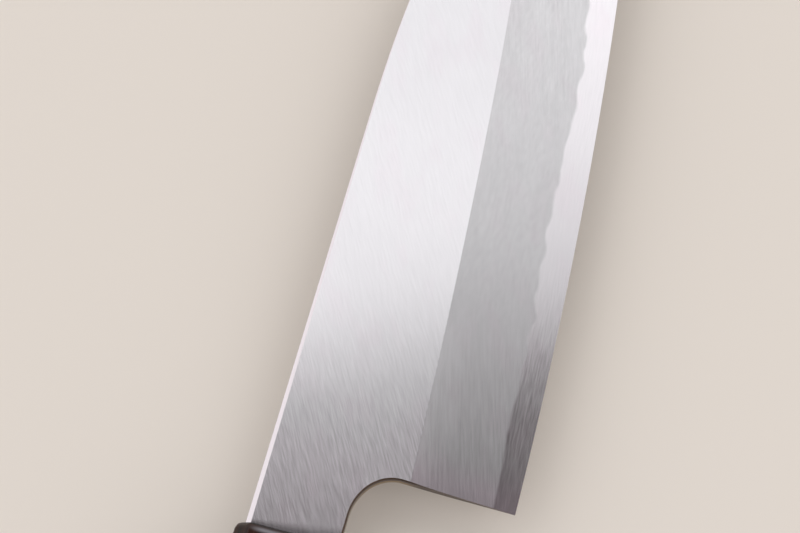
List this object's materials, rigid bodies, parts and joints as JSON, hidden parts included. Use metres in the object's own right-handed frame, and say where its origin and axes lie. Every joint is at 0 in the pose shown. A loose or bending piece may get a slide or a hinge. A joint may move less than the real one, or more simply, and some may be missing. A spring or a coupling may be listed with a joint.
{
  "type": "santoku knife",
  "caption": "Double-bevel santoku kitchen knife with a laminated blade, a round choil and an octagonal wooden handle with a dark horn ferrule, lying on its side.",
  "frame": {"origin": "on the surface that the handle lies on, under the middle of the knife's length and width", "axes": "+X from the butt to the tip, +Y towards the spine and away from the edge, +Z out of the right face of the blade"},
  "size_m": [0.3108, 0.0491, 0.018],
  "materials": {
    "hard_steel": "fine polish along the edge",
    "soft_steel": "satin flat with fine hairlines, hazy bevel",
    "horn": "polished dark brown horn",
    "handle_wood": "fine sanded, unvarnished",
    "bedding_resin": "hardened resin, hidden in the handle"
  },
  "bodies": {
    "root": {"core_steel": "hard_steel", "cladding_right": "soft_steel", "cladding_left": "soft_steel", "ferrule": "horn", "handle_body": "handle_wood", "tang_bedding": "bedding_resin"}
  },
  "joints": []
}
